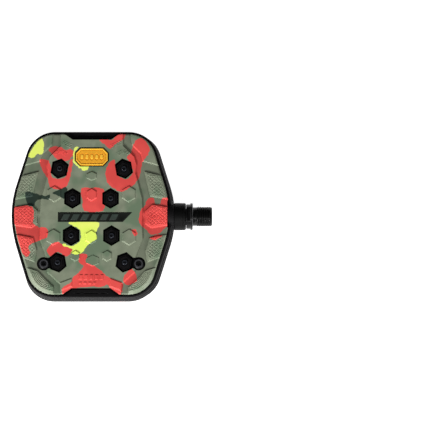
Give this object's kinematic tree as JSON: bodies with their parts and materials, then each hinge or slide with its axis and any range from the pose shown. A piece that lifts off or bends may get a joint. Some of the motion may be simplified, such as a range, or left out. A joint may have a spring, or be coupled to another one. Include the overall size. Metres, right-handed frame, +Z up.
{
  "type": "flat bicycle pedal",
  "caption": "Left flat bicycle pedal: a moulded platform with rubber treads and grip pins on both faces, turning on a steel spindle with a left-hand crank thread.",
  "frame": {"origin": "centre of the spindle flange's crank-side face, on the spindle's axis", "axes": "+X along the spindle towards the crank, +Y forwards in the plane of the platform, +Z up out of the top tread"},
  "size_m": [0.1433, 0.1216, 0.0208],
  "materials": {
    "body_composite": "fine moulded grain, satin black",
    "carrier_plastic": "moulded satin black",
    "tread_rubber": "sage green rubber with coral, lime and dark green patches moulded in",
    "badge_amber": "glossy amber with a raised border",
    "strip_plastic": "satin black",
    "screw_black": "black oxide",
    "pin_black": "black oxide",
    "spindle_black": "black coated steel",
    "collar_black": "black anodised",
    "seal_rubber": "smooth black",
    "bushing_polymer": "smooth grey",
    "sleeve_aluminium": "turned",
    "nut_steel": "zinc plated",
    "bearing_steel": "ground and polished",
    "cage_nylon": "natural nylon"
  },
  "bodies": {
    "spindle_group": {"spindle": "spindle_black", "inboard_inner_race": "bearing_steel", "outboard_inner_race": "bearing_steel", "inner_bearing_spacer": "sleeve_aluminium", "lock_washer": "nut_steel", "spindle_lock_nut": "nut_steel"},
    "platform": {"platform_body": "body_composite", "collar_nut": "collar_black", "spindle_lip_seal": "seal_rubber", "collar_o_ring": "seal_rubber", "journal_bushing": "bushing_polymer", "spacer_sleeve": "sleeve_aluminium", "outer_bearing_spacer": "sleeve_aluminium", "top_tread_carrier": "carrier_plastic", "top_tread": "tread_rubber", "top_badge": "badge_amber", "top_centre_strip": "strip_plastic", "top_tread_screws": "screw_black", "top_grip_pins": "pin_black", "bottom_tread_carrier": "carrier_plastic", "bottom_tread": "tread_rubber", "bottom_badge": "badge_amber", "bottom_centre_strip": "strip_plastic", "bottom_tread_screws": "screw_black", "bottom_grip_pins": "pin_black", "inboard_outer_race": "bearing_steel", "inboard_bearing_seals": "seal_rubber", "outboard_outer_race": "bearing_steel", "outboard_bearing_seals": "seal_rubber"},
    "inboard_ball_set": {"inboard_balls": "bearing_steel", "inboard_ball_cage": "cage_nylon"},
    "outboard_ball_set": {"outboard_balls": "bearing_steel", "outboard_ball_cage": "cage_nylon"}
  },
  "joints": [
    {"name": "platform_spin", "type": "hinge", "parent": "spindle_group", "child": "platform", "pos_m": [0, 0, 0], "axis": [1, 0, 0], "continuous": true},
    {"name": "inboard_ball_orbit", "type": "hinge", "parent": "spindle_group", "child": "inboard_ball_set", "pos_m": [-0.0932, 0, 0], "axis": [1, 0, 0], "continuous": true},
    {"name": "outboard_ball_orbit", "type": "hinge", "parent": "spindle_group", "child": "outboard_ball_set", "pos_m": [-0.1012, 0, 0], "axis": [1, 0, 0], "continuous": true}
  ],
  "couplings": [
    {"joint": "inboard_ball_orbit", "follows": "platform_spin", "ratio": 0.59091},
    {"joint": "outboard_ball_orbit", "follows": "platform_spin", "ratio": 0.59091}
  ]
}
